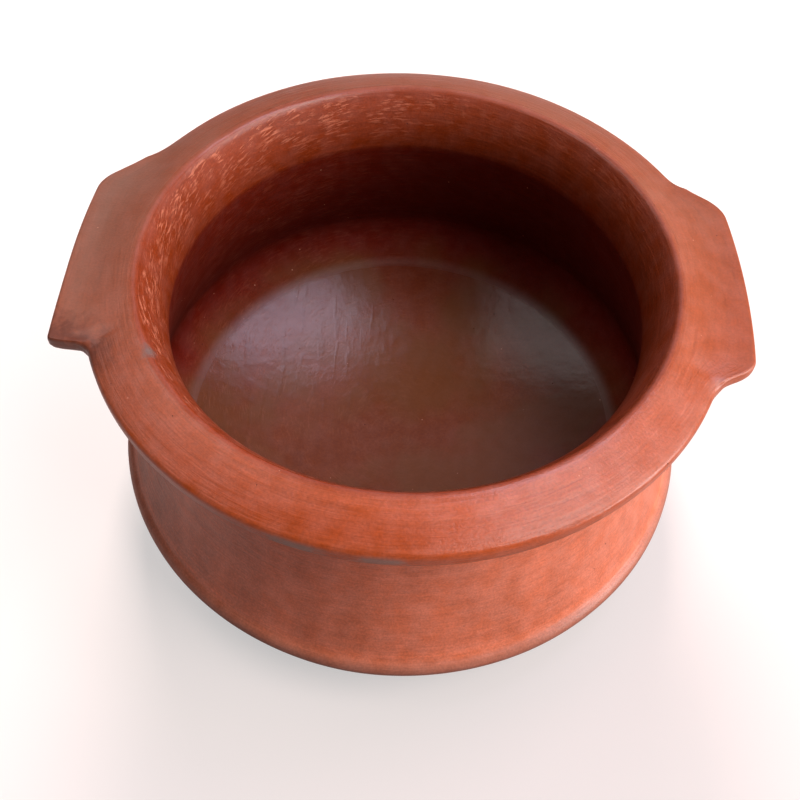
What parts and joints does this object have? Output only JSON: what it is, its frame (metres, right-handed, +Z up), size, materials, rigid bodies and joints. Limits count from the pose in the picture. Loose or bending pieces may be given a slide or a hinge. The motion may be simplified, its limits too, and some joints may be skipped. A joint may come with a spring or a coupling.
{
  "type": "deep cooking pot",
  "caption": "Deep red earthenware cooking pot with a sloping rim, flat lugs at both sides, a narrow throat, a flared wall with a ridge and a rounded base.",
  "frame": {"origin": "centre of the flat spot that the pot rests on", "axes": "+Z up along the pot's axis, +X towards one lug and -X towards the other"},
  "size_m": [0.253, 0.2428, 0.1305],
  "materials": {
    "burnished_earthenware": "burnished, unglazed"
  },
  "bodies": {
    "root": {"cooking_pot": "burnished_earthenware"}
  },
  "joints": []
}
